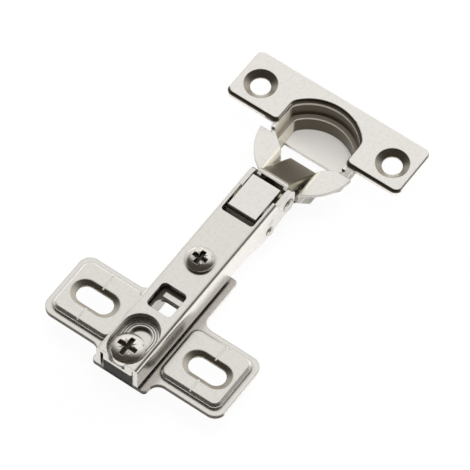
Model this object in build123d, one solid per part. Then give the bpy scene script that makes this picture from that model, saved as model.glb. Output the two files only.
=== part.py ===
from build123d import *
import math
import os

# Concealed cabinet hinge with a 26 mm cup, in its fully open position. Lengths are in millimetres.
# +X runs along the arm from the mounting plate to the cup, and +Z stands off the cabinet side.
# The origin is midway between the two slots of the mounting plate, on its underside.

# Sheet metal
PLATE_SHEET = 1.2
ARM_SHEET = 1.2
LINK_SHEET = 1.0
CUP_SHEET = 1.0
SPRING_SHEET = 0.6

# Fits
RUN_FIT = 0.05
RIVET_FIT = 0.02
SEAT_GAP = 0.05
SIDE_GAP = 0.3
OPEN_PIVOT_GAP = 0.2

# Four pivots of the linkage, as places in the open position
ARM_FRONT_PIVOT = (46.3, 3.9)
ARM_REAR_PIVOT = (39.25, 5.2)
CUP_LOW_PIVOT = (56.7, -5.5)
CUP_HIGH_PIVOT = (52.55, 0.05)
PIN_R = 1.0
RIVET_HEAD_R = 1.8
RIVET_HEAD_T = 0.5
RIVET_HEAD_EDGE = 0.4

# Mounting plate
SLOT_PITCH = 32.0
SLOT_LENGTH = 9.8
SLOT_WIDTH = 4.8
SLOT_SINK_LENGTH = 13.0
SLOT_SINK_WIDTH = 7.2
SLOT_SINK_DEPTH = 0.7
WING_BACK = -8.7
WING_FRONT = 9.5
WING_HALF_SPAN = 25.3
WING_CORNER_R = 3.0
WING_RIM = 1.5
PLATEAU_TOP = 2.7
PLATEAU_INNER_Y = 6.9
PLATEAU_CORNER_R = 2.2
PLATEAU_EDGE = 0.7
TONGUE_BACK = -12.7
TONGUE_FRONT = 23.8
TONGUE_HALF = 7.6
TONGUE_WING_R = 2.6
TONGUE_END_R = 1.0
RIDGE_TOP = 5.8
RIDGE_EDGE_R = 1.0
RIDGE_OPENING_FRONT = 7.9
RIDGE_OPENING_R = 2.0
MARK_WIDTH = 0.25
MARK_DEPTH = 0.12

# Hinge arm
ARM_TOP = 9.5
ARM_HALF = 5.8
ARM_BACK = -13.1
ARM_TRAVEL = 3.5
ARM_EDGE_R = 1.3
WALL_BOTTOM = 2.4
EAR_R = 2.6
EAR_STEP_X = 41.8
EAR_STEP_R = 0.6
EAR_TOP_R = 2.6
BELLY_Z = 0.4
BELLY_BACK = 35.0
BELLY_RISE_BACK = 29.5
BELLY_R = 1.5
WINDOW_BACK = 33.4
WINDOW_HALF = 4.5
WINDOW_CORNER_R = 0.8
RECT_BACK = 2.6
RECT_FRONT = 9.9
RECT_HALF = 3.45
RECT_CORNER_R = 1.2
DISH_HALF = 4.75
DISH_WALL = 0.9
DISH_SPARE = 1.4
DISH_SLOT_HALF = 2.8
DISH_GROOVE_PITCH = 0.6
DISH_GROOVE_WIDTH = 0.25
DISH_GROOVE_DEPTH = 0.2
DISH_GROOVES = 3

# Screws
FIX_X = -8.9
FIX_HEAD_R = 4.1
FIX_HEAD_EDGE = 1.6
FIX_HEAD_H = 2.9
FIX_SHANK_R = 2.4
FIX_SHANK_END = 2.0
FIX_RECESS = 5.4
SIDE_X = 19.1
SIDE_HEAD_R = 3.4
SIDE_HEAD_EDGE = 0.7
SIDE_HEAD_H = 2.0
SIDE_SHANK_R = 2.0
SIDE_NECK_R = 1.5
SIDE_COLLAR_R = 2.4
SIDE_COLLAR_T = 1.0
SIDE_RECESS = 4.2
RECESS_ARM_WIDTH = 1.5
CROSS_DEPTH = 1.2
CROSS_TAPER = 20.0
TICK_WIDTH = 0.3
TICK_DEPTH = 0.35

# Links
LINK_HALF = 4.2
LINK_EYE_R = 2.1
LINK_WEB_TOP = 4.7
LINK_WEB_LEAD = 1.0
LINK_EDGE_R = 0.7
LINK_NOTCH_GAP = 0.5
REAR_LINK_HALF = 2.95
REAR_LINK_SHEET = 0.9
REAR_LINK_EYE_R = 1.9
REAR_LINK_TOP = 1.0

# Closing spring and its pin
SPRING_PIN = (38.8, 2.0)
SPRING_PIN_R = 0.9
SPRING_PIN_HEAD_R = 1.25
SPRING_HALF = 3.9
SPRING_TOP_GAP = 0.1
SPRING_TIP_X = 45.6
SPRING_BACK_X = 35.3
SPRING_BEND_R = 0.6

# Cup
CUP_X = 62.9
CUP_R = 13.0
CUP_BOTTOM = -7.6
CUP_FLAT_HALF = 10.7
FUNNEL_START = 58.2
FUNNEL_END = 62.6
FUNNEL_SET_BACK = 0.4
FUNNEL_R = 1.5
LEDGE_Z = -1.4
LEDGE_IN = 1.0
FLOOR_FRONT = 65.5
POCKET_CORNER_R = 2.5
FLANGE_TOP = 4.4
FLANGE_T = 1.6
FLANGE_LENGTH = 50.0
FLANGE_NEAR = 63.4
FLANGE_LIP = 2.35
FLANGE_CORNER_R = 2.0
FLANGE_EDGE_R = 0.9
MOUTH_CORNER_R = 1.5
HOLE_OFFSET = 7.0
HOLE_PITCH = 38.0
HOLE_R = 2.5
HOLE_SINK_R = 4.2
HOLE_SINK_DEPTH = 1.2
CHEEK_HALF = 4.8
CHEEK_EDGE = 1.15
PAD_BEND_R = 1.4
WING_PAD_TOP = 2.0
WING_PAD_END = 61.6

# Sizes that follow from those above
ARM_INNER = ARM_HALF - ARM_SHEET
RIDGE_HALF = ARM_INNER - SIDE_GAP
FLANGE_UNDER = FLANGE_TOP - FLANGE_T
FLANGE_FAR = CUP_X + CUP_R + FLANGE_LIP
CHEEK_OUTER = CHEEK_HALF + CUP_SHEET
CHEEK_FRONT = CUP_HIGH_PIVOT[0] - PIN_R - CHEEK_EDGE
EAR_TOP = ARM_TOP - ARM_EDGE_R
DISH_UNDER = RIDGE_TOP + SEAT_GAP
DISH_FLOOR = DISH_UNDER + ARM_SHEET
OVERCUT = 2.0
TOUCH = 0.01


def block(x0, x1, half_y, z0, z1):
    """Box centred across the hinge."""
    return Pos((x0 + x1) / 2, 0, (z0 + z1) / 2) * Box(x1 - x0, 2 * half_y, z1 - z0)


def slab(plan, z0, z1):
    """Plan outline raised from one height to another."""
    return extrude(Pos(0, 0, z0) * plan, amount=z1 - z0)


def side_slab(outline, half_y, frame=Plane.XZ):
    """Side outline widened evenly both ways across the hinge."""
    return extrude(frame * outline, amount=half_y, both=True)


def cross_rod(pivot, radius, y0, y1):
    """Round bar lying across the hinge at a pivot."""
    return Pos(pivot[0], (y0 + y1) / 2, pivot[1]) * Rot(90, 0, 0) * Cylinder(radius, y1 - y0)


def link_frame(start, end):
    """Plane in a link's side view, its x from the first pivot to the second and its y towards the web."""
    run = (end[0] - start[0], 0, end[1] - start[1])
    return Plane(origin=(start[0], 0, start[1]), x_dir=run, z_dir=(0, -1, 0))


def box_outline(x0, x1, y0, y1):
    """Rectangle between two opposite corners, as an outline."""
    return Pos((x0 + x1) / 2, (y0 + y1) / 2) * Rectangle(x1 - x0, y1 - y0)


def mirrored(shape):
    """A shape together with its mirror image on the other side of the hinge."""
    return shape + mirror(shape, about=Plane.XZ)


def domed_head(radius, edge, height, recess):
    """Screw head standing on the origin: a short rim, a dome and a cross recess."""
    rise = height - edge
    dome_r = (radius ** 2 + rise ** 2) / (2 * rise)
    half_way = height - dome_r + math.sqrt(dome_r ** 2 - (radius / 2) ** 2)
    outline = make_face([
        Line((0, 0), (radius, 0)),
        Line((radius, 0), (radius, edge)),
        ThreePointArc((radius, edge), (radius / 2, half_way), (0, height)),
        Line((0, height), (0, 0)),
    ])
    head = revolve(Plane.XZ * outline, axis=Axis.Z)
    cross = Rectangle(recess, RECESS_ARM_WIDTH) + Rectangle(RECESS_ARM_WIDTH, recess)
    head -= extrude(Pos(0, 0, height) * cross, amount=-CROSS_DEPTH, taper=CROSS_TAPER)
    ticks = Rectangle(recess, TICK_WIDTH) + Rectangle(TICK_WIDTH, recess)
    return head - slab(Rot(0, 0, 45) * ticks, height - TICK_DEPTH, height + OVERCUT)


def plate_outline():
    """Plan of the flat sheet: a tongue along the arm and a wing on each side."""
    wings = box_outline(WING_BACK, WING_FRONT, -WING_HALF_SPAN, WING_HALF_SPAN)
    tongue = box_outline(TONGUE_BACK, TONGUE_FRONT, -TONGUE_HALF, TONGUE_HALF)
    plan = wings + tongue
    reach = (WING_HALF_SPAN + TONGUE_HALF) / 2
    plan = fillet(plan.vertices().filter_by(lambda v: abs(v.Y) > reach), WING_CORNER_R)
    roots = plan.vertices().filter_by(lambda v: abs(abs(v.Y) - TONGUE_HALF) < TOUCH
                                      and WING_BACK - TOUCH < v.X < WING_FRONT + TOUCH)
    plan = fillet(roots, TONGUE_WING_R)
    ends = plan.vertices().filter_by(lambda v: v.X > TONGUE_FRONT - TOUCH or v.X < TONGUE_BACK + TOUCH)
    return fillet(ends, TONGUE_END_R)


def wing_plateau(inset, top):
    """Block under one raised wing, drawn in from the plateau's edge by an inset."""
    plan = box_outline(WING_BACK + WING_RIM + inset, WING_FRONT - WING_RIM - inset,
                       PLATEAU_INNER_Y + inset, WING_HALF_SPAN - WING_RIM - inset)
    plan = fillet(plan.vertices(), PLATEAU_CORNER_R - inset)
    return slab(plan, 0, top)


def wing_slot():
    """Long screw slot of one wing with its sloped sink and the fine marks at its middle."""
    outer = SlotOverall(SLOT_SINK_LENGTH, SLOT_SINK_WIDTH, rotation=90)
    inner = SlotOverall(SLOT_LENGTH, SLOT_WIDTH, rotation=90)
    bottom = PLATEAU_TOP - SLOT_SINK_DEPTH
    cut = loft([Pos(0, 0, PLATEAU_TOP) * outer, Pos(0, 0, bottom) * inner])
    cut += slab(inner, -OVERCUT, PLATEAU_TOP)
    mark_end = WING_FRONT - WING_RIM - PLATEAU_EDGE
    cut += block(0, mark_end, MARK_WIDTH / 2, PLATEAU_TOP - MARK_DEPTH, PLATEAU_TOP + OVERCUT)
    mark_end = WING_BACK + WING_RIM + PLATEAU_EDGE
    cut += block(mark_end, 0, MARK_WIDTH / 2, PLATEAU_TOP - MARK_DEPTH, PLATEAU_TOP + OVERCUT)
    return Pos(0, SLOT_PITCH / 2, 0) * cut


def plate_ridge():
    """Raised channel that the arm rides on, as a solid bar."""
    bar = block(TONGUE_BACK, TONGUE_FRONT, RIDGE_HALF, 0, RIDGE_TOP)
    long_edges = bar.edges().filter_by(Axis.X).group_by(Axis.Z)[-1]
    return fillet(long_edges, RIDGE_EDGE_R)


def ridge_cuts():
    """Inside of the ridge behind its closed end, with the screw hole, the window and the open slot."""
    inner = RIDGE_HALF - PLATE_SHEET
    cut = block(TONGUE_BACK + PLATE_SHEET, TONGUE_FRONT + OVERCUT, inner, -OVERCUT, RIDGE_TOP - PLATE_SHEET)
    cut += Pos(FIX_X, 0, RIDGE_TOP) * Cylinder(FIX_SHANK_R + RUN_FIT, 4 * PLATE_SHEET)
    opening = box_outline(RECT_BACK - ARM_TRAVEL, RIDGE_OPENING_FRONT, -inner, inner)
    opening = fillet(opening.vertices(), RIDGE_OPENING_R)
    cut += slab(opening, RIDGE_TOP - 2 * PLATE_SHEET, RIDGE_TOP + OVERCUT)
    slot_half = SIDE_NECK_R + SIDE_GAP
    slot_end = SIDE_X - ARM_TRAVEL
    cut += block(slot_end, TONGUE_FRONT + OVERCUT, slot_half,
                 RIDGE_TOP - 2 * PLATE_SHEET, RIDGE_TOP + OVERCUT)
    return cut + Pos(slot_end, 0, RIDGE_TOP) * Cylinder(slot_half, 4 * PLATE_SHEET)


def make_mounting_plate():
    """One-piece pressed plate with two raised wings and the ridge under the arm."""
    plate = slab(plate_outline(), 0, PLATE_SHEET) + plate_ridge()
    raised = wing_plateau(0, PLATEAU_TOP)
    raised = chamfer(raised.edges().group_by(Axis.Z)[-1], PLATEAU_EDGE)
    plate += mirrored(raised)
    plate -= mirrored(wing_plateau(PLATE_SHEET, PLATEAU_TOP - PLATE_SHEET))
    plate -= mirrored(wing_slot())
    return plate - ridge_cuts()


def arm_side_outline():
    """Side view of the arm: straight top, lower rounded ears in front and a belly round the spring pin."""
    front = ARM_FRONT_PIVOT[0] + EAR_R
    ear_bottom = ARM_FRONT_PIVOT[1] - EAR_R
    belly_front = SPRING_PIN[0] + 2 * SPRING_PIN_R
    points = [
        (ARM_BACK, WALL_BOTTOM),
        (ARM_BACK, ARM_TOP),
        (EAR_STEP_X, ARM_TOP),
        (EAR_STEP_X, EAR_TOP),
        (front, EAR_TOP),
        (front, ear_bottom),
        (ARM_FRONT_PIVOT[0] - EAR_R, ear_bottom),
        (belly_front, BELLY_Z),
        (BELLY_BACK, BELLY_Z),
        (BELLY_RISE_BACK, WALL_BOTTOM),
    ]
    outline = make_face(Polyline(*points, close=True))
    tip = outline.vertices().filter_by(lambda v: v.X > front - TOUCH)
    outline = fillet(tip.sort_by(Axis.Y)[:1], EAR_R - TOUCH)
    ear = outline.vertices().filter_by(lambda v: v.X > EAR_STEP_X + TOUCH).sort_by(Axis.Y)
    outline = fillet(ear[-1:], EAR_TOP_R)
    step = outline.vertices().filter_by(lambda v: abs(v.X - EAR_STEP_X) < TOUCH).sort_by(Axis.Y)[:1]
    outline = fillet(step, EAR_STEP_R)
    under = outline.vertices().filter_by(lambda v: BELLY_RISE_BACK - TOUCH < v.X < belly_front + TOUCH
                                         and v.Y < WALL_BOTTOM + TOUCH)
    return fillet(under, BELLY_R)


def long_dish(half):
    """Plan of the long dish round the fixing screw's travel and the spare length ahead of it."""
    length = ARM_TRAVEL + DISH_SPARE
    return Pos(FIX_X + length / 2, 0) * SlotCenterToCenter(length, 2 * half)


def dish_body():
    """Sheet drawn down from the arm's top until it rests on the ridge."""
    bowl = slab(long_dish(DISH_HALF + DISH_WALL), DISH_UNDER, ARM_TOP - ARM_SHEET / 2)
    return bowl & block(ARM_BACK, RECT_BACK, ARM_INNER + ARM_SHEET / 2, DISH_UNDER, ARM_TOP)


def dish_cuts():
    """Hollow of the dish, the slot through its floor and the fine ribs that grip the screw's head."""
    cut = slab(long_dish(DISH_HALF), DISH_FLOOR, ARM_TOP + OVERCUT)
    cut += slab(long_dish(DISH_SLOT_HALF), DISH_UNDER - OVERCUT, DISH_FLOOR)
    for step in range(DISH_GROOVES):
        half = DISH_SLOT_HALF + (step + 1) * DISH_GROOVE_PITCH
        ring = long_dish(half) - long_dish(half - DISH_GROOVE_WIDTH)
        cut += slab(ring, DISH_FLOOR - DISH_GROOVE_DEPTH, DISH_FLOOR)
    return cut


def make_hinge_arm():
    """Folded channel with a window over the links, ears for the pivots and holes for the screws."""
    front = ARM_FRONT_PIVOT[0] + EAR_R + OVERCUT
    blank = block(ARM_BACK - OVERCUT, front, ARM_HALF, BELLY_Z - OVERCUT, ARM_TOP)
    blank = fillet(blank.edges().filter_by(Axis.X).group_by(Axis.Z)[-1], ARM_EDGE_R)
    outer = blank & side_slab(arm_side_outline(), ARM_HALF + OVERCUT)
    arm = outer - block(ARM_BACK - OVERCUT, front, ARM_INNER, -OVERCUT, ARM_TOP - ARM_SHEET)
    window = box_outline(WINDOW_BACK, front, -WINDOW_HALF, WINDOW_HALF)
    window = fillet(window.vertices().sort_by(Axis.X)[:2], WINDOW_CORNER_R)
    arm -= slab(window, ARM_TOP - ARM_SHEET - OVERCUT, ARM_TOP + OVERCUT)
    opening = box_outline(RECT_BACK, RECT_FRONT, -RECT_HALF, RECT_HALF)
    opening = fillet(opening.vertices(), RECT_CORNER_R)
    arm -= slab(opening, ARM_TOP - ARM_SHEET - OVERCUT, ARM_TOP + OVERCUT)
    arm = arm + dish_body() - dish_cuts()
    arm -= Pos(SIDE_X, 0, ARM_TOP) * Cylinder(SIDE_SHANK_R + RUN_FIT, 4 * ARM_SHEET)
    for pivot, radius in ((ARM_FRONT_PIVOT, PIN_R), (ARM_REAR_PIVOT, PIN_R), (SPRING_PIN, SPRING_PIN_R)):
        arm -= cross_rod(pivot, radius + RIVET_FIT, -ARM_HALF - OVERCUT, ARM_HALF + OVERCUT)
    return arm


def make_fixing_screw():
    """Screw that clamps the arm to the plate at the chosen depth."""
    seat = DISH_FLOOR + SEAT_GAP
    head = Pos(FIX_X, 0, seat) * domed_head(FIX_HEAD_R, FIX_HEAD_EDGE, FIX_HEAD_H, FIX_RECESS)
    length = seat - FIX_SHANK_END
    return head + Pos(FIX_X, 0, FIX_SHANK_END + length / 2) * Cylinder(FIX_SHANK_R, length)


def make_side_screw():
    """Screw in the arm that sets the overlay, with a necked end held in the ridge's open slot."""
    seat = ARM_TOP + SEAT_GAP
    neck_top = RIDGE_TOP + SIDE_GAP
    collar_top = RIDGE_TOP - PLATE_SHEET - SIDE_GAP
    head = Pos(0, 0, seat) * domed_head(SIDE_HEAD_R, SIDE_HEAD_EDGE, SIDE_HEAD_H, SIDE_RECESS)
    shank = Pos(0, 0, (seat + neck_top) / 2) * Cylinder(SIDE_SHANK_R, seat - neck_top)
    neck = Pos(0, 0, (neck_top + collar_top) / 2) * Cylinder(SIDE_NECK_R, neck_top - collar_top)
    collar = Pos(0, 0, collar_top - SIDE_COLLAR_T / 2) * Cylinder(SIDE_COLLAR_R, SIDE_COLLAR_T)
    return Pos(SIDE_X, 0, 0) * (head + shank + neck + collar)


def make_front_link():
    """Broad folded link over the linkage, notched where the cup's upper pin crosses it."""
    frame = link_frame(ARM_FRONT_PIVOT, CUP_LOW_PIVOT)
    length = math.dist(ARM_FRONT_PIVOT, CUP_LOW_PIVOT)
    outline = box_outline(0, length, -LINK_EYE_R, LINK_WEB_TOP)
    outline += box_outline(-LINK_WEB_LEAD, length + LINK_EYE_R, 0, LINK_WEB_TOP)
    outline += Circle(LINK_EYE_R)
    outline += Pos(length, 0) * Circle(LINK_EYE_R)
    link = side_slab(outline, LINK_HALF, frame)
    inside = box_outline(-2 * LINK_EYE_R, length + 2 * LINK_EYE_R, -2 * LINK_EYE_R, LINK_WEB_TOP - LINK_SHEET)
    top_edges = link.edges().filter_by(lambda e: frame.to_local_coords(e.center()).Y > LINK_WEB_TOP - TOUCH)
    link = fillet(top_edges, LINK_EDGE_R)
    link -= side_slab(inside, LINK_HALF - LINK_SHEET, frame)
    pin = frame.to_local_coords(Vector(CUP_HIGH_PIVOT[0], 0, CUP_HIGH_PIVOT[1]))
    notch_half = PIN_R + LINK_NOTCH_GAP
    notch = box_outline(pin.X - notch_half, pin.X + notch_half, -2 * LINK_EYE_R, pin.Y)
    notch += Pos(pin.X, pin.Y) * Circle(notch_half)
    link -= side_slab(notch, LINK_HALF + OVERCUT, frame)
    for pivot in (ARM_FRONT_PIVOT, CUP_LOW_PIVOT):
        link -= cross_rod(pivot, PIN_R + RUN_FIT, -LINK_HALF - OVERCUT, LINK_HALF + OVERCUT)
    return link


def make_rear_link():
    """Narrow folded link that crosses inside the front link."""
    frame = link_frame(ARM_REAR_PIVOT, CUP_HIGH_PIVOT)
    length = math.dist(ARM_REAR_PIVOT, CUP_HIGH_PIVOT)
    outline = box_outline(0, length, -REAR_LINK_TOP, REAR_LINK_TOP)
    outline += Circle(REAR_LINK_EYE_R)
    outline += Pos(length, 0) * Circle(REAR_LINK_EYE_R)
    link = side_slab(outline, REAR_LINK_HALF, frame)
    inner = REAR_LINK_HALF - REAR_LINK_SHEET
    under = box_outline(0, length, -2 * REAR_LINK_EYE_R, REAR_LINK_TOP - REAR_LINK_SHEET)
    eye_reach = REAR_LINK_EYE_R + SIDE_GAP
    under += box_outline(-eye_reach, eye_reach, -eye_reach, eye_reach)
    under += box_outline(length - eye_reach, length + eye_reach, -eye_reach, eye_reach)
    link -= side_slab(under, inner, frame)
    across = (-REAR_LINK_HALF - OVERCUT, REAR_LINK_HALF + OVERCUT)
    link -= cross_rod(ARM_REAR_PIVOT, PIN_R + RUN_FIT, *across)
    return link - cross_rod(CUP_HIGH_PIVOT, PIN_R + OPEN_PIVOT_GAP, *across)


def make_front_rivet(side):
    """Short rivet through one ear of the arm and one flange of the front link."""
    inner = LINK_HALF - LINK_SHEET
    shank = cross_rod(ARM_FRONT_PIVOT, PIN_R, inner, ARM_HALF)
    rivet = shank + rivet_head(ARM_FRONT_PIVOT, RIVET_HEAD_R)
    return rivet if side > 0 else mirror(rivet, about=Plane.XZ)


def rivet_head(pivot, radius):
    """Low rounded head on the outside of the arm's left wall."""
    head = cross_rod(pivot, radius, ARM_HALF, ARM_HALF + RIVET_HEAD_T)
    return chamfer(head.edges().group_by(Axis.Y)[-1], RIVET_HEAD_EDGE)


def make_spring_pin():
    """Pin across the whole arm with a head on each wall."""
    shank = cross_rod(SPRING_PIN, SPRING_PIN_R, -ARM_HALF, ARM_HALF)
    return shank + mirrored(rivet_head(SPRING_PIN, SPRING_PIN_HEAD_R))


def make_flush_pin(pivot, half_y):
    """Pin across two walls, flush with their outsides."""
    return cross_rod(pivot, PIN_R, -half_y, half_y)


def make_closing_spring():
    """Bent leaf that fills the arm's window and hooks under the spring pin."""
    leaf_z = ARM_TOP - SPRING_TOP_GAP - SPRING_SHEET / 2
    hook_z = SPRING_PIN[1] - SPRING_PIN_R - SEAT_GAP - SPRING_SHEET / 2
    path = FilletPolyline(
        (SPRING_TIP_X, leaf_z),
        (SPRING_BACK_X, leaf_z),
        (SPRING_BACK_X, hook_z),
        (SPRING_PIN[0] + SPRING_PIN_R, hook_z),
        radius=SPRING_BEND_R,
    )
    return side_slab(trace(path, SPRING_SHEET), SPRING_HALF)


def pocket_outline(inset):
    """Plan of the drawn pocket: flat sides and a round back, drawn in by an inset."""
    sides = box_outline(FUNNEL_END, CUP_X + 2 * CUP_R, -CUP_FLAT_HALF + inset, CUP_FLAT_HALF - inset)
    plan = sides & (Pos(CUP_X, 0) * Circle(CUP_R - inset))
    return fillet(plan.vertices().filter_by(lambda v: v.X > FLANGE_NEAR), POCKET_CORNER_R)


def cavity_outline(wall, step, front):
    """Plan of the pocket with its throat, drawn in by the wall and, below the ledge, by the step."""
    narrow = CHEEK_OUTER - wall
    wide = CUP_FLAT_HALF - wall - step
    start = FUNNEL_START + FUNNEL_SET_BACK * wall
    side = [(front, narrow), (start, narrow), (FUNNEL_END, wide)]
    points = side + [(x, -y) for x, y in reversed(side)]
    plan = pocket_outline(wall + step) + make_face(Polyline(*points, close=True))
    bends = plan.vertices().filter_by(lambda v: front + OVERCUT < v.X < FLANGE_NEAR)
    return fillet(bends, FUNNEL_R)


def make_flange():
    """Screw flange with rounded corners, two sunk holes and the mouth open to its near edge."""
    plan = box_outline(FLANGE_NEAR, FLANGE_FAR, -FLANGE_LENGTH / 2, FLANGE_LENGTH / 2)
    plan = fillet(plan.vertices(), FLANGE_CORNER_R)
    plan -= pocket_outline(CUP_SHEET)
    corners = plan.vertices().filter_by(lambda v: v.X < FLANGE_NEAR + TOUCH and abs(v.Y) < CUP_FLAT_HALF)
    plan = fillet(corners, MOUTH_CORNER_R)
    flange = slab(plan, FLANGE_UNDER, FLANGE_TOP)
    flange = fillet(flange.edges().group_by(Axis.Z)[-1], FLANGE_EDGE_R)
    sink = Cone(HOLE_R, HOLE_SINK_R, HOLE_SINK_DEPTH, align=(Align.CENTER, Align.CENTER, Align.MAX))
    hole = Pos(CUP_X + HOLE_OFFSET, HOLE_PITCH / 2, FLANGE_TOP) * (sink + Cylinder(HOLE_R, 4 * FLANGE_T))
    return flange - mirrored(hole)


def cheek_toe():
    """Cut that slopes the lower front corner of both cheeks, even with the edge round their two pins."""
    frame = link_frame(CUP_HIGH_PIVOT, CUP_LOW_PIVOT)
    outside = box_outline(-CUP_R, 2 * CUP_R, -2 * CUP_R, -PIN_R - CHEEK_EDGE)
    return side_slab(outside, CUP_R, frame)


def pad_bends():
    """Cut that rounds the bend where each cheek turns out into its pad."""
    inner = CHEEK_HALF - OVERCUT
    outer = CHEEK_HALF + PAD_BEND_R
    bottom = WING_PAD_TOP - PAD_BEND_R
    corner = box_outline(inner, outer, bottom, WING_PAD_TOP + OVERCUT)
    corner -= Pos(outer, bottom) * Circle(PAD_BEND_R)
    start = CHEEK_FRONT - OVERCUT
    bend = extrude(Plane((start, 0, 0), x_dir=(0, 1, 0), z_dir=(1, 0, 0)) * corner,
                   amount=FUNNEL_START + OVERCUT - start)
    return mirrored(bend)


def wing_pads():
    """Flat pads turned out from the tops of the cheeks, which fill the edge of the bored hole."""
    disc = Pos(CUP_X, 0) * Circle(CUP_R)
    plan = disc & box_outline(CHEEK_FRONT, WING_PAD_END, -CUP_R, CUP_R)
    return slab(plan, WING_PAD_TOP - CUP_SHEET, WING_PAD_TOP)


def make_hinge_cup():
    """One-piece drawn cup: flange, stepped pocket, open throat with two cheeks, and two pads."""
    step_z = LEDGE_Z - CUP_SHEET
    floor_z = CUP_BOTTOM + CUP_SHEET
    open_front = CHEEK_FRONT - OVERCUT
    cup = slab(cavity_outline(0, 0, CHEEK_FRONT), step_z, WING_PAD_TOP)
    cup += slab(cavity_outline(0, LEDGE_IN, CHEEK_FRONT), CUP_BOTTOM, step_z)
    cup += wing_pads()
    lower = cavity_outline(CUP_SHEET, LEDGE_IN, open_front)
    cup -= slab(cavity_outline(CUP_SHEET, 0, open_front), LEDGE_Z, FLANGE_TOP)
    cup -= slab(lower, floor_z, LEDGE_Z)
    cup -= slab(lower & box_outline(open_front, FLOOR_FRONT, -CUP_R, CUP_R), CUP_BOTTOM - OVERCUT, floor_z)
    cup += slab(pocket_outline(0) - pocket_outline(CUP_SHEET), step_z, FLANGE_UNDER)
    cup += make_flange()
    cup -= cheek_toe()
    cup -= pad_bends()
    for pivot in (CUP_LOW_PIVOT, CUP_HIGH_PIVOT):
        cup -= cross_rod(pivot, PIN_R + RIVET_FIT, -CUP_R, CUP_R)
    return cup


def main():
    """Builds every piece and writes it as its own file."""
    pieces = {
        "mounting_plate": make_mounting_plate(),
        "fixing_screw": make_fixing_screw(),
        "hinge_arm": make_hinge_arm(),
        "side_adjusting_screw": make_side_screw(),
        "front_rivet_left": make_front_rivet(1),
        "front_rivet_right": make_front_rivet(-1),
        "rear_pivot_pin": make_flush_pin(ARM_REAR_PIVOT, ARM_HALF),
        "spring_pin": make_spring_pin(),
        "closing_spring": make_closing_spring(),
        "front_link": make_front_link(),
        "rear_link": make_rear_link(),
        "hinge_cup": make_hinge_cup(),
        "cup_low_pin": make_flush_pin(CUP_LOW_PIVOT, CHEEK_OUTER),
        "cup_high_pin": make_flush_pin(CUP_HIGH_PIVOT, CHEEK_OUTER),
    }
    os.makedirs("parts", exist_ok=True)
    for name, shape in pieces.items():
        export_step(shape, f"parts/{name}.step")


if __name__ == "__main__":
    main()
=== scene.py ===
"""Looks of an open concealed cabinet hinge in bright nickel-plated steel."""

from __future__ import annotations

import logging
import math
from dataclasses import dataclass
from enum import Enum
from functools import cache
from typing import Any, Union

import bpy
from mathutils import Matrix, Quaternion, Vector


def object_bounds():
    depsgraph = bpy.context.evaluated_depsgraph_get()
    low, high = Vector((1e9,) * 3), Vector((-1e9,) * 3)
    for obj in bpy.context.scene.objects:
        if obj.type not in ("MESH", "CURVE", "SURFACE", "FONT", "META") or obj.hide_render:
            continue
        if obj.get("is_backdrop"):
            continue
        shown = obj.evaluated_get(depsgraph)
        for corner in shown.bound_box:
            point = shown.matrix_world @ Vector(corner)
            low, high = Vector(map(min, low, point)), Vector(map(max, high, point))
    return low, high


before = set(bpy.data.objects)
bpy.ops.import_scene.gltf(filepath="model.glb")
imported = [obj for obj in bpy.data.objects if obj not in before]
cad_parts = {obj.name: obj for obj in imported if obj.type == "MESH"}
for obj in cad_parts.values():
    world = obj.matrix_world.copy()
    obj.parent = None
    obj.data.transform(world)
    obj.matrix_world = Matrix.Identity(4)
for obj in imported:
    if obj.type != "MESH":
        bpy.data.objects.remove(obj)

LOG = logging.getLogger("hinge")
IMAGE_PIXELS = 470

Colour = tuple[float, float, float]
Point = tuple[float, float, float]
Span = tuple[float, float]
Box = tuple[Span, Span, Span]
Number = Union[int, float]
Operand = Union["Value", bpy.types.NodeSocket, int, float]
Settings = dict[str, Any]
Sockets = dict[Union[str, int], Any]

WHITE: Colour = (1.0, 1.0, 1.0)
FULL_METAL = 1.0

# Places of the colour sockets on a Mix node
MIX_SHARE = 0
MIX_LOW = 6
MIX_HIGH = 7
MIX_RESULT = 2

# Middle of a noise's values and of a zone's soft border
NOISE_MIDDLE = 0.5
BORDER_MIDDLE = 0.5

# How fast a zone that is meant for one side fades as a face turns away from that side
FACING_GAIN = 5.0
FACING_LOSS = 0.5


class Grain(Enum):
    """Way that a sheet was rolled, as the scale of its lines on each axis."""

    ALONG_ARM = (0.03, 1.0, 1.0)
    ACROSS_ARM = (1.0, 0.03, 1.0)
    EVEN = (1.0, 1.0, 1.0)


class Side(Enum):
    """Way that a face looks: the front is the cup's end."""

    UP = (0.0, 0.0, 1.0)
    FRONT = (1.0, 0.0, 0.0)
    BACK = (-1.0, 0.0, 0.0)
    LEFT = (0.0, 1.0, 0.0)
    RIGHT = (0.0, -1.0, 0.0)


class Border(Enum):
    """Width over which a zone passes into the rest of its piece, in metres."""

    SHARP = 0.0001
    CRISP = 0.0002
    SOFT = 0.0003


def solid(colour: Colour) -> tuple[float, float, float, float]:
    """Adds full alpha to a colour."""
    return (*colour, 1.0)


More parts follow.
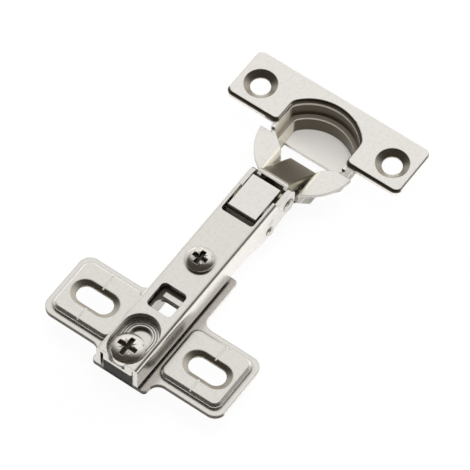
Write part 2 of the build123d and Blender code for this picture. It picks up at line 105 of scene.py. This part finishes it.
class Value:
    """A number socket of a shader that takes part in Python arithmetic."""

    def __init__(self, graph: "ShaderGraph", socket: bpy.types.NodeSocket) -> None:
        """Keeps the graph and the socket.

        Args:
            graph: The graph that new Math nodes go into.
            socket: The output socket that holds the number.
        """
        self.graph = graph
        self.socket = socket

    def _math(self, operation: str, first: Operand, second: Operand = 0.0) -> "Value":
        """Adds a Math node.

        Args:
            operation: The Math node's operation.
            first: Its first value or socket.
            second: Its second value or socket, where it has one.

        Returns:
            The node's result.
        """
        return self.graph.value("ShaderNodeMath", "Value", {"operation": operation}, {0: first, 1: second})

    def __add__(self, other: Operand) -> "Value":
        """Sum with a number or another value."""
        return self._math("ADD", self, other)

    __radd__ = __add__

    def __sub__(self, other: Operand) -> "Value":
        """Difference from this value."""
        return self._math("SUBTRACT", self, other)

    def __rsub__(self, other: Number) -> "Value":
        """Difference from a number."""
        return self._math("SUBTRACT", other, self)

    def __mul__(self, other: Operand) -> "Value":
        """Product with a number or another value."""
        return self._math("MULTIPLY", self, other)

    __rmul__ = __mul__

    def at_most(self, limit: Operand) -> "Value":
        """The smaller of this value and a limit."""
        return self._math("MINIMUM", self, limit)

    def at_least(self, limit: Operand) -> "Value":
        """The larger of this value and a limit."""
        return self._math("MAXIMUM", self, limit)

    def magnitude(self) -> "Value":
        """This value without its sign."""
        return self._math("ABSOLUTE", self)

    def as_share(self) -> "Value":
        """This value kept from 0 to 1."""
        return self.at_most(1.0).at_least(0.0)


class ShaderGraph:
    """Builds the nodes of one material or world."""

    def __init__(self, tree: bpy.types.NodeTree) -> None:
        """Empties the tree.

        Args:
            tree: The node tree to fill.
        """
        self.tree = tree
        tree.nodes.clear()

    def node(self, kind: str, settings: Settings | None = None,
             inputs: Sockets | None = None) -> bpy.types.Node:
        """Adds a node.

        Args:
            kind: The node's type.
            settings: Attributes to set first.
            inputs: Socket name or place, with a number, a colour, a Value or an output socket.

        Returns:
            The new node.
        """
        made = self.tree.nodes.new(kind)
        for name, setting in (settings or {}).items():
            setattr(made, name, setting)
        for name, given in (inputs or {}).items():
            if isinstance(given, Value):
                given = given.socket
            if isinstance(given, bpy.types.NodeSocket):
                self.tree.links.new(given, made.inputs[name])
            else:
                made.inputs[name].default_value = given
        return made

    def value(self, kind: str, output: str, settings: Settings | None = None,
              inputs: Sockets | None = None) -> Value:
        """Adds a node and wraps one of its outputs.

        Args:
            kind: The node's type.
            output: Name of the output.
            settings: Attributes to set first.
            inputs: Socket values and links.

        Returns:
            The output as a Value.
        """
        return Value(self, self.node(kind, settings, inputs).outputs[output])

    def mix(self, share: Operand, low: Any, high: Any) -> bpy.types.NodeSocket:
        """Mixes two colours.

        Args:
            share: Share of the second colour.
            low: Colour at share 0.
            high: Colour at share 1.

        Returns:
            The mixed colour's socket.
        """
        made = self.node("ShaderNodeMix", {"data_type": "RGBA"},
                         {MIX_SHARE: share, MIX_LOW: low, MIX_HIGH: high})
        return made.outputs[MIX_RESULT]

    def along(self, vector: bpy.types.NodeSocket, way: Point) -> Value:
        """Measures a vector along a way.

        Args:
            vector: The vector's socket.
            way: The way, of length 1.

        Returns:
            The dot product of the two.
        """
        return self.value("ShaderNodeVectorMath", "Value", {"operation": "DOT_PRODUCT"}, {0: vector, 1: way})

    def ease(self, given: Value, start: float, end: float, low: float = 0.0, high: float = 1.0) -> Value:
        """Passes smoothly from one number to another as a value goes from start to end.

        Args:
            given: The value that is followed.
            start: Value at which the result is low.
            end: Value at which the result is high.
            low: Result at the start.
            high: Result at the end.

        Returns:
            The eased number.
        """
        return self.value("ShaderNodeMapRange", "Result", {"interpolation_type": "SMOOTHSTEP"},
                          {"Value": given, "From Min": start, "From Max": end, "To Min": low, "To Max": high})


@dataclass(frozen=True)
class Shade:
    """Colour and gloss painted on one zone of a piece, in place of the shade or light that falls there."""

    tint: Colour
    roughness: float
    metallic: float = FULL_METAL


@dataclass(frozen=True)
class Zone:
    """Box-shaped part of a piece where painted shade or painted light covers the rest of its colour."""

    box: Box
    shade: Shade
    border: Border = Border.SOFT
    facing: Side | None = None

    def share(self, graph: ShaderGraph, coords: bpy.types.Node) -> Value:
        """Tells how far a point lies inside the zone.

        Args:
            graph: The graph that the nodes go into.
            coords: The node that gives the point and the normal in the piece's own space.

        Returns:
            1 inside the zone and 0 outside, with a soft border.
        """
        axes = graph.node("ShaderNodeSeparateXYZ", None, {0: coords.outputs["Object"]})
        depth = None
        for axis, (low, high) in zip(axes.outputs, self.box):
            room = (high - low) / 2 - (Value(graph, axis) - (low + high) / 2).magnitude()
            depth = room if depth is None else depth.at_most(room)
        inside = (depth * (1 / self.border.value) + BORDER_MIDDLE).as_share()
        if self.facing is None:
            return inside
        turned = graph.along(coords.outputs["Normal"], self.facing.value)
        return inside * (turned * FACING_GAIN - FACING_LOSS).as_share()


def beside(box: Box, offset: float) -> tuple[Box, Box]:
    """Puts a box on the right and on the left of the arm.

    Args:
        box: The box about its own middle.
        offset: Distance of that middle from the arm's middle.

    Returns:
        The right box and the left one.
    """
    lengthwise, (low, high), upward = box
    right, left = ((lengthwise, (side * offset + low, side * offset + high), upward) for side in (-1, 1))
    return right, left


def mirrored(box: Box) -> Box:
    """Moves a box to the other side of the arm."""
    lengthwise, (low, high), upward = box
    return lengthwise, (-high, -low), upward


@dataclass(frozen=True)
class PlatedFinish:
    """Bright plating on steel, with rolling lines, soft mottling and shade painted into its recesses."""

    name: str
    tint: Colour
    # Colour of the shade painted into recesses
    painted_recess_shade: Colour
    roughness: float
    roughness_spread: float = 0.06
    grain: Grain = Grain.EVEN
    grain_scale: float = 3600.0
    grain_detail: float = 3.0
    grain_strength: float = 0.10
    grain_depth: float = 0.00005
    mottle_scale: float = 1300.0
    mottle_detail: float = 4.0
    mottle_base: float = 0.86
    mottle_gain: float = 0.24
    # Reach, gain, loss and samples of the ambient occlusion that places the painted recess shade
    recess_reach: float = 0.002
    recess_gain: float = 1.35
    recess_loss: float = 0.2
    recess_samples: int = 6
    edge_round: float = 0.00018
    edge_samples: int = 4
    zones: tuple[Zone, ...] = ()

    def material(self) -> bpy.types.Material:
        """Builds the material.

        Returns:
            The finished material.
        """
        made = bpy.data.materials.new(self.name)
        made.use_nodes = True
        graph = ShaderGraph(made.node_tree)
        coords = graph.node("ShaderNodeTexCoord")
        lines = self._rolling_lines(graph, coords)
        mottle = self._mottling(graph, coords)
        # The plating's tint passes into the painted recess shade where ambient occlusion finds a recess
        colour = graph.mix(self._tone(graph, mottle), solid(self.painted_recess_shade), solid(self.tint))
        spread = self.roughness_spread
        rough = self.roughness + (mottle - NOISE_MIDDLE) * spread + (lines - NOISE_MIDDLE) * spread
        metallic: Operand = FULL_METAL
        # Zones of painted shade and painted light over the plating's colour and gloss
        for zone in self.zones:
            share = zone.share(graph, coords)
            colour = graph.mix(share, colour, solid(zone.shade.tint))
            rough = rough + share * (zone.shade.roughness - self.roughness)
            if zone.shade.metallic < FULL_METAL:
                metallic = metallic - share * (FULL_METAL - zone.shade.metallic)
        shader = graph.node("ShaderNodeBsdfPrincipled", None, {
            "Base Color": colour,
            "Roughness": rough,
            "Metallic": metallic,
            "Normal": self._relief(graph, lines),
        })
        graph.node("ShaderNodeOutputMaterial", None, {"Surface": shader.outputs[0]})
        return made

    def _rolling_lines(self, graph: ShaderGraph, coords: bpy.types.Node) -> Value:
        """Makes the fine lines of the rolled sheet.

        Args:
            graph: The graph that the nodes go into.
            coords: The node that gives the point in the piece's own space.

        Returns:
            The lines, from 0 to 1.
        """
        stretched = graph.node("ShaderNodeMapping", None,
                               {"Vector": coords.outputs["Object"], "Scale": self.grain.value})
        return graph.value("ShaderNodeTexNoise", "Fac", None, {
            "Vector": stretched.outputs[0],
            "Scale": self.grain_scale,
            "Detail": self.grain_detail,
        })

    def _mottling(self, graph: ShaderGraph, coords: bpy.types.Node) -> Value:
        """Makes the cloudy spots of the plating.

        Args:
            graph: The graph that the nodes go into.
            coords: The node that gives the point in the piece's own space.

        Returns:
            The spots, from 0 to 1.
        """
        return graph.value("ShaderNodeTexNoise", "Fac", None, {
            "Vector": coords.outputs["Object"],
            "Scale": self.mottle_scale,
            "Detail": self.mottle_detail,
        })

    def _tone(self, graph: ShaderGraph, mottle: Value) -> Value:
        """Paints shade into recesses, where ambient occlusion finds them.

        Args:
            graph: The graph that the nodes go into.
            mottle: The spots of the plating, which vary the tone.

        Returns:
            0 deep in a recess, where the painted shade is full, and 1 in the open.
        """
        openness = graph.value("ShaderNodeAmbientOcclusion", "AO", {"samples": self.recess_samples},
                               {"Distance": self.recess_reach})
        lit = (openness * self.recess_gain - self.recess_loss).as_share()
        return (lit * (self.mottle_base + mottle * self.mottle_gain)).at_most(1.0)

    def _relief(self, graph: ShaderGraph, lines: Value) -> bpy.types.NodeSocket:
        """Rounds the edges and raises the rolling lines.

        Args:
            graph: The graph that the nodes go into.
            lines: The rolling lines.

        Returns:
            The normal's socket.
        """
        rounded = graph.node("ShaderNodeBevel", {"samples": self.edge_samples}, {"Radius": self.edge_round})
        raised = graph.node("ShaderNodeBump", None, {
            "Strength": self.grain_strength,
            "Distance": self.grain_depth,
            "Height": lines,
            "Normal": rounded.outputs[0],
        })
        return raised.outputs[0]


@cache
def built(finish: PlatedFinish) -> bpy.types.Material:
    """Builds a finish's material once, for all the pieces that have it."""
    return finish.material()


# Painted shade and painted light of the plate's zones
# Painted shade: the ridge's end, dark as if shadowed inside
RIDGE_END_PAINTED_SHADE = Shade((0.018, 0.016, 0.013), 0.45)
# Painted shade: the ridge top in the arm's shadow
RIDGE_TOP_PAINTED_SHADE = Shade((0.10, 0.085, 0.075), 0.50, 0.2)
# Painted light: the strip of ridge top lit through the arm's hole
RIDGE_STRIP_PAINTED_LIGHT = Shade((0.88, 0.85, 0.80), 0.40, 0.2)
# Painted shade: the cut edge in front of the lit strip
RIDGE_CUT_PAINTED_SHADE = Shade((0.07, 0.06, 0.048), 0.40)
# Painted shade: the wings' back edges
WING_EDGE_PAINTED_SHADE = Shade((0.08, 0.068, 0.054), 0.35)
# Painted shade: the slots' countersinks, greyer
SLOT_SINK_PAINTED_SHADE = Shade((0.50, 0.465, 0.40), 0.26)
# Painted light: the tick grooves, lightened against their shade
TICK_PAINTED_LIGHT = Shade((0.66, 0.635, 0.60), 0.40, 0.3)

# Painted shade and painted light of the arm's, screws' and spring's zones
# Painted shade: the walls of the arm's rectangular hole
HOLE_WALL_PAINTED_SHADE = Shade((0.07, 0.06, 0.05), 0.40)
# Painted shade: the screws' cross recesses
CROSS_PAINTED_SHADE = Shade((0.05, 0.043, 0.035), 0.40)
# Painted highlight: the ring at the fixing screw head's lower edge
HEAD_RIM_PAINTED_HIGHLIGHT = Shade((0.86, 0.83, 0.78), 0.35, 0.3)
# Painted shade: the spring where it bends down behind its plate
SPRING_BEND_PAINTED_SHADE = Shade((0.045, 0.039, 0.031), 0.40)

# Painted shade and painted light of the link's and cup's zones
# Painted highlight: the links' bent edge at the arm's end
LINK_EDGE_PAINTED_HIGHLIGHT = Shade((0.90, 0.88, 0.84), 0.40, 0.2)
# Painted shade: the countersinks of the cup's screw holes, greyer
SCREW_HOLE_SINK_PAINTED_SHADE = Shade((0.48, 0.445, 0.385), 0.26)
# Painted shade: the flange's back edge
FLANGE_EDGE_PAINTED_SHADE = Shade((0.12, 0.103, 0.082), 0.35)
# Painted reflection: the dark inside of the cup's far wall
CUP_WALL_PAINTED_REFLECTION = Shade((0.125, 0.105, 0.080), 0.30)
# Painted light: the cup's inner sides
CUP_SIDE_PAINTED_LIGHT = Shade((0.88, 0.84, 0.72), 0.30, 0.6)
# Painted shade: the cup's outer walls
CUP_OUTSIDE_PAINTED_SHADE = Shade((0.50, 0.475, 0.44), 0.30)
# Painted light: the cup's floor, evenly lit
CUP_FLOOR_PAINTED_LIGHT = Shade((0.84, 0.815, 0.785), 0.45, 0.20)
# Painted shade: the cup's inner ledge
CUP_LEDGE_PAINTED_SHADE = Shade((0.24, 0.205, 0.16), 0.35, 0.4)
# Painted highlight: the lip of the cup's ledge
CUP_LIP_PAINTED_HIGHLIGHT = Shade((0.85, 0.82, 0.75), 0.40, 0.2)
# Painted highlight: the cup's rim
CUP_RIM_PAINTED_HIGHLIGHT = Shade((0.80, 0.775, 0.73), 0.40, 0.4)

# Tints, painted recess shade and finishes that several pieces share
SHEET_TINT: Colour = (0.74, 0.715, 0.68)
SCREW_TINT: Colour = (0.84, 0.81, 0.76)
# Shade painted into the screws' recesses
SCREW_PAINTED_RECESS_SHADE: Colour = (0.07, 0.06, 0.05)
SCREW_REACH = 0.0009
RIVET_STEEL = PlatedFinish("rivet_steel", tint=(0.60, 0.575, 0.535), painted_recess_shade=(0.10, 0.09, 0.075),
                           roughness=0.22)


class SubAssembly:
    """Pieces that are dressed together."""

    def finishes(self) -> dict[str, PlatedFinish]:
        """Names the finish of each piece."""
        raise NotImplementedError

    def dress(self) -> None:
        """Gives each piece its finish and reports it."""
        for node, finish in self.finishes().items():
            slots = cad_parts[node].data.materials
            slots.clear()
            slots.append(built(finish))
            LOG.info("%s: %s", node, finish.name)


@dataclass(frozen=True)
class MountingPlate(SubAssembly):
    """Winged plate on the cabinet side and the screw that clamps the arm to it.

    Each box gives the spans of a zone of painted shade or painted light on X, Y and Z in metres.
    Those of slots and tick marks are about the slot's middle on Y.
    """

    wing_edge: Box = ((-0.0140, -0.0050), (-0.0260, 0.0260), (0.0, 0.00125))
    ridge_end: Box = ((-0.0140, -0.0125), (-0.0042, 0.0042), (0.0002, 0.0056))
    ridge_top: Box = ((0.0060, 0.0135), (-0.0042, 0.0042), (0.0050, 0.0061))
    ridge_strip: Box = ((0.0083, 0.0096), (-0.0042, 0.0026), (0.0050, 0.0061))
    ridge_cut: Box = ((0.0074, 0.0084), (-0.0034, 0.0034), (0.0, 0.0057))
    slot_offset: float = 0.016
    slot_sink: Box = ((-0.0045, 0.0045), (-0.0072, 0.0072), (0.0005, 0.0026))
    tick_mark: Box = ((-0.0080, 0.0080), (-0.0002, 0.0002), (0.0024, 0.0029))
    screw_cross: Box = ((-0.0116, -0.0062), (-0.0027, 0.0027), (0.0070, 0.0090))
    screw_rim: Box = ((-0.0140, -0.0040), (-0.0050, 0.0050), (0.0070, 0.0076))

    def finishes(self) -> dict[str, PlatedFinish]:
        """Names the finish of each piece."""
        return {"mounting_plate": self._plate(), "fixing_screw": self._screw()}

    def _plate(self) -> PlatedFinish:
        """Makes the plate's finish, with painted shade on its edges, ridge and slot sinks, a painted light
        strip on the ridge and painted light on its faint tick marks.

        Returns:
            The finish.
        """
        edges = (
            Zone(self.wing_edge, WING_EDGE_PAINTED_SHADE, Border.SHARP, Side.BACK),
            Zone(self.ridge_end, RIDGE_END_PAINTED_SHADE, Border.CRISP, Side.BACK),
            Zone(self.ridge_top, RIDGE_TOP_PAINTED_SHADE, Border.CRISP, Side.UP),
            Zone(self.ridge_strip, RIDGE_STRIP_PAINTED_LIGHT, Border.CRISP, Side.UP),
            Zone(self.ridge_cut, RIDGE_CUT_PAINTED_SHADE, Border.CRISP, Side.BACK),
        )
        slots = tuple(Zone(box, SLOT_SINK_PAINTED_SHADE, Border.SHARP) for box in beside(self.slot_sink, self.slot_offset))
        ticks = tuple(Zone(box, TICK_PAINTED_LIGHT, Border.SHARP) for box in beside(self.tick_mark, self.slot_offset))
        return PlatedFinish("plate_nickel", tint=SHEET_TINT, painted_recess_shade=(0.16, 0.14, 0.115), roughness=0.22,
                            grain=Grain.ALONG_ARM, recess_reach=0.0009, edge_round=0.0004,
                            zones=edges + slots + ticks)

    def _screw(self) -> PlatedFinish:
        """Makes the fixing screw's finish, with painted shade in its cross and a painted highlight on its
        rim.
        """
        zones = (Zone(self.screw_cross, CROSS_PAINTED_SHADE), Zone(self.screw_rim, HEAD_RIM_PAINTED_HIGHLIGHT, Border.CRISP))
        return PlatedFinish("fixing_screw_nickel", tint=SCREW_TINT, painted_recess_shade=SCREW_PAINTED_RECESS_SHADE, roughness=0.20,
                            recess_reach=SCREW_REACH, zones=zones)


@dataclass(frozen=True)
class HingeArm(SubAssembly):
    """Folded arm with its rivets, pins, side screw and closing spring.

    Each box gives the spans of a zone of painted shade or painted light on X, Y and Z in metres.
    """

    hole_walls: Box = ((0.0020, 0.0110), (-0.0040, 0.0040), (0.0080, 0.0094))
    screw_cross: Box = ((0.0170, 0.0212), (-0.0021, 0.0021), (0.0095, 0.0107))
    spring_bend: Box = ((0.0300, 0.0359), (-0.0045, 0.0045), (0.0, 0.0092))

    def finishes(self) -> dict[str, PlatedFinish]:
        """Names the finish of each piece.

        Returns:
            Each piece's name with its finish.
        """
        return {
            "hinge_arm": self._arm(),
            "side_adjusting_screw": self._screw(),
            "front_rivet_left": RIVET_STEEL,
            "front_rivet_right": RIVET_STEEL,
            "rear_pivot_pin": RIVET_STEEL,
            "spring_pin": RIVET_STEEL,
            "closing_spring": self._spring(),
        }

    def _arm(self) -> PlatedFinish:
        """Makes the arm's finish, with painted shade on the walls of its rectangular hole."""
        walls = tuple(Zone(self.hole_walls, HOLE_WALL_PAINTED_SHADE, Border.CRISP, side)
                      for side in (Side.BACK, Side.RIGHT))
        return PlatedFinish("arm_nickel", tint=SHEET_TINT, painted_recess_shade=(0.14, 0.12, 0.10), roughness=0.22,
                            grain=Grain.ALONG_ARM, recess_reach=0.0008, zones=walls)

    def _screw(self) -> PlatedFinish:
        """Makes the side screw's finish, with painted shade in its cross."""
        return PlatedFinish("side_screw_nickel", tint=SCREW_TINT, painted_recess_shade=SCREW_PAINTED_RECESS_SHADE, roughness=0.20,
                            recess_reach=SCREW_REACH, zones=(Zone(self.screw_cross, CROSS_PAINTED_SHADE),))

    def _spring(self) -> PlatedFinish:
        """Makes the spring's finish, with painted shade where it bends down behind its plate."""
        bend = Zone(self.spring_bend, SPRING_BEND_PAINTED_SHADE, Border.CRISP, Side.BACK)
        return PlatedFinish("spring_nickel", tint=(0.78, 0.755, 0.725), painted_recess_shade=(0.16, 0.14, 0.115),
                            roughness=0.20, grain=Grain.ACROSS_ARM, zones=(bend,))


@dataclass(frozen=True)
class CupAndLinks(SubAssembly):
    """Drawn cup, its two pins and the two crossed links.

    Each box gives the spans of a zone of painted shade or painted light on X, Y and Z in metres.
    That of a screw hole is about the hole's middle on Y, and those of the cup's sides are on the left.
    """

    link_edge: Box = ((0.0474, 0.0492), (-0.0048, 0.0048), (0.0068, 0.0084))
    hole_offset: float = 0.019
    hole_sink: Box = ((0.0655, 0.0743), (-0.0044, 0.0044), (0.0029, 0.00432))
    flange_edge: Box = ((0.0600, 0.0660), (-0.0260, 0.0260), (0.0037, 0.0046))
    inner_side: Box = ((0.0500, 0.0690), (0.0010, 0.0130), (-0.0066, 0.0029))
    inner_wall: Box = ((0.0630, 0.0790), (-0.0130, 0.0130), (-0.0066, 0.0046))
    outer_side: Box = ((0.0500, 0.0790), (0.0010, 0.0140), (-0.0080, 0.0026))
    outer_wall: Box = ((0.0630, 0.0790), (-0.0140, 0.0140), (-0.0080, 0.0026))
    cup_floor: Box = ((0.0500, 0.0780), (-0.0120, 0.0120), (-0.0080, -0.0064))
    cup_ledge: Box = ((0.0600, 0.0780), (-0.0125, 0.0125), (-0.0015, -0.0013))
    ledge_lip: Box = ((0.0500, 0.0780), (-0.0125, 0.0125), (-0.0021, -0.0015))
    cup_rim: Box = ((0.0500, 0.0780), (-0.0130, 0.0130), (0.0026, 0.0033))

    def finishes(self) -> dict[str, PlatedFinish]:
        """Names the finish of each piece.

        Returns:
            Each piece's name with its finish.
        """
        link = self._link()
        return {
            "front_link": link,
            "rear_link": link,
            "hinge_cup": self._cup(),
            "cup_low_pin": RIVET_STEEL,
            "cup_high_pin": RIVET_STEEL,
        }

    def _link(self) -> PlatedFinish:
        """Makes the links' finish, darkened as painted shade of their tilted webs, with a painted highlight
        on the cut edge.
        """
        edge = Zone(self.link_edge, LINK_EDGE_PAINTED_HIGHLIGHT, Border.CRISP, Side.BACK)
        # The links' tint is darkened, painting in the shade of their tilted webs
        return PlatedFinish("link_nickel", tint=(0.49, 0.455, 0.375), painted_recess_shade=(0.12, 0.102, 0.078),
                            roughness=0.30, grain=Grain.ALONG_ARM, recess_reach=0.0012, zones=(edge,))

    def _cup(self) -> PlatedFinish:
        """Makes the cup's finish, with zones of painted shade and painted light, later zones over earlier
        ones.

        Returns:
            The finish.
        """
        sinks = tuple(Zone(box, SCREW_HOLE_SINK_PAINTED_SHADE, Border.SHARP) for box in beside(self.hole_sink, self.hole_offset))
        zones = (
            *sinks,
            Zone(self.inner_side, CUP_SIDE_PAINTED_LIGHT, facing=Side.RIGHT),
            Zone(mirrored(self.inner_side), CUP_SIDE_PAINTED_LIGHT, facing=Side.LEFT),
            Zone(self.outer_wall, CUP_OUTSIDE_PAINTED_SHADE, facing=Side.FRONT),
            Zone(self.outer_side, CUP_OUTSIDE_PAINTED_SHADE, facing=Side.LEFT),
            Zone(mirrored(self.outer_side), CUP_OUTSIDE_PAINTED_SHADE, facing=Side.RIGHT),
            Zone(self.inner_wall, CUP_WALL_PAINTED_REFLECTION, facing=Side.BACK),
            Zone(self.cup_floor, CUP_FLOOR_PAINTED_LIGHT, facing=Side.UP),
            Zone(self.cup_ledge, CUP_LEDGE_PAINTED_SHADE, facing=Side.UP),
            Zone(self.ledge_lip, CUP_LIP_PAINTED_HIGHLIGHT, Border.CRISP),
            Zone(self.cup_rim, CUP_RIM_PAINTED_HIGHLIGHT),
            Zone(self.flange_edge, FLANGE_EDGE_PAINTED_SHADE, Border.CRISP, Side.BACK),
        )
        return PlatedFinish("cup_nickel", tint=(0.80, 0.775, 0.74), painted_recess_shade=(0.13, 0.11, 0.09),
                            roughness=0.20, grain=Grain.ACROSS_ARM, recess_reach=0.004, zones=zones)


@dataclass(frozen=True)
class SoftBox:
    """Square lamp with its place, side and power in watts."""

    name: str
    place: Point
    side: float
    power: float


@dataclass(frozen=True)
class Studio:
    """Pale floor, a surround with a dark ceiling, two soft boxes and the camera."""

    # Floor: half its side, its depth under the hinge, its paint and how white rays find it
    floor_half: float = 3.0
    floor_drop: float = 0.0040
    floor_paint: Colour = (0.9, 0.9, 0.9)
    floor_seen: float = 0.94
    floor_mirrored: float = 0.08

    # Key light of the surround, by the cosine of the angle from its middle
    key_direction: Point = (0.70, 0.30, 0.65)
    key_start: float = 0.45
    key_full: float = 0.85
    light_tint: Colour = (1.0, 0.995, 0.985)
    ceiling_tint: Colour = (0.060, 0.052, 0.042)

    # Light band round the horizon, by height, and what is left of it at the back
    band_end: float = 0.42
    band_full: float = 0.15
    band_level: float = 0.75
    back_level: float = 0.40
    back_full: float = 0.75
    back_start: float = 0.35

    # Lamps
    soft_boxes: tuple[SoftBox, ...] = (
        SoftBox("right_box", (0.80, -0.50, 0.62), side=0.6, power=8.0),
        SoftBox("top_box", (-0.10, -0.15, 1.10), side=0.5, power=9.0),
    )

    # Camera: the point in the picture's middle, the way it looks, its distance and its lens
    target: Point = (0.03428, 0.00086, 0.0)
    forward: Point = (0.42911, 0.29755, -0.85284)
    distance: float = 0.95930
    roll_degrees: float = 1.14
    focal_pixels: float = 4111.4
    sensor: float = 36.0
    far_limit: float = 20.0

    def build(self, lowest: float) -> None:
        """Sets up the stage.

        Args:
            lowest: Height of the hinge's lowest point.
        """
        self._floor(lowest - self.floor_drop)
        self._world()
        for box in self.soft_boxes:
            self._hang(box)
        self._camera()

    def _floor(self, height: float) -> None:
        """Lays the floor.

        Args:
            height: Height of the floor.
        """
        half = self.floor_half
        corners = [(-half, -half, height), (half, -half, height), (half, half, height), (-half, half, height)]
        mesh = bpy.data.meshes.new("floor")
        mesh.from_pydata(corners, [], [tuple(range(len(corners)))])
        mesh.materials.append(self._floor_material())
        floor = bpy.data.objects.new("floor", mesh)
        bpy.context.scene.collection.objects.link(floor)
        floor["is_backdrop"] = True

    def _floor_material(self) -> bpy.types.Material:
        """Makes the floor's paint, nearly white to the camera and faint in the metal.

        Returns:
            The floor's material.
        """
        made = bpy.data.materials.new("pale_floor")
        made.use_nodes = True
        graph = ShaderGraph(made.node_tree)
        path = graph.node("ShaderNodeLightPath")
        seen = Value(graph, path.outputs["Is Camera Ray"])
        in_metal = Value(graph, path.outputs["Is Glossy Ray"]).at_least(path.outputs["Is Transmission Ray"])
        white = seen * self.floor_seen + in_metal * self.floor_mirrored
        paint = graph.node("ShaderNodeBsdfDiffuse", None, {"Color": solid(self.floor_paint)})
        glow = graph.node("ShaderNodeEmission", None, {"Color": solid(WHITE), "Strength": 1.0})
        mixed = graph.node("ShaderNodeMixShader", None, {0: white, 1: paint.outputs[0], 2: glow.outputs[0]})
        graph.node("ShaderNodeOutputMaterial", None, {"Surface": mixed.outputs[0]})
        return made

    def _world(self) -> None:
        """Makes the surround.

        It is white to the camera. Other rays find a key light and a low band under a dark ceiling.
        """
        world = bpy.data.worlds.new("studio")
        bpy.context.scene.world = world
        world.use_nodes = True
        graph = ShaderGraph(world.node_tree)
        seen = graph.value("ShaderNodeLightPath", "Is Camera Ray")
        direction = graph.node("ShaderNodeTexCoord").outputs["Generated"]
        toward_key = graph.along(direction, Vector(self.key_direction).normalized())
        key = graph.ease(toward_key, self.key_start, self.key_full)
        height = graph.along(direction, Side.UP.value)
        band = graph.ease(height, self.band_end, self.band_full, high=self.band_level)
        toward_back = graph.along(direction, Side.BACK.value)
        kept = graph.ease(toward_back, self.back_full, self.back_start, low=self.back_level)
        light = key.at_least(band * kept).at_least(seen)
        colour = graph.mix(light, solid(self.ceiling_tint), solid(self.light_tint))
        surround = graph.node("ShaderNodeBackground", None, {"Color": colour, "Strength": 1.0})
        graph.node("ShaderNodeOutputWorld", None, {"Surface": surround.outputs[0]})

    def _hang(self, box: SoftBox) -> None:
        """Hangs a soft box that faces the hinge and doesn't show in the metal.

        Args:
            box: The soft box.
        """
        lamp = bpy.data.lights.new(box.name, "AREA")
        lamp.shape = "SQUARE"
        lamp.size = box.side
        lamp.energy = box.power
        hung = bpy.data.objects.new(box.name, lamp)
        hung.location = box.place
        hung.rotation_mode = "QUATERNION"
        hung.rotation_quaternion = (Vector(self.target) - Vector(box.place)).to_track_quat("-Z", "Y")
        hung.visible_glossy = False
        bpy.context.scene.collection.objects.link(hung)

    def _camera(self) -> None:
        """Places the camera at the photograph's viewing angle."""
        lens = bpy.data.cameras.new("camera")
        lens.sensor_width = self.sensor
        lens.lens = self.focal_pixels * self.sensor / IMAGE_PIXELS
        lens.clip_end = self.far_limit
        camera = bpy.data.objects.new("camera", lens)
        look = Vector(self.forward).normalized()
        camera.location = Vector(self.target) - look * self.distance
        level = look.to_track_quat("-Z", "Y")
        camera.rotation_mode = "QUATERNION"
        camera.rotation_quaternion = level @ Quaternion(Side.UP.value, math.radians(self.roll_degrees))
        bpy.context.scene.collection.objects.link(camera)
        bpy.context.scene.camera = camera


def as_lists(corners: Any) -> list[list[float]]:
    """Turns a box's two corners into plain lists."""
    return [[float(number) for number in corner] for corner in corners]


def main() -> None:
    """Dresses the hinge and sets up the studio."""
    logging.basicConfig(level=logging.INFO)
    bpy.context.scene.view_settings.view_transform = "Standard"
    cad_box = as_lists(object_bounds())
    for part in (MountingPlate(), HingeArm(), CupAndLinks()):
        part.dress()
    lowest = cad_box[0][2]
    Studio().build(lowest)


if __name__ == "__main__":
    main()
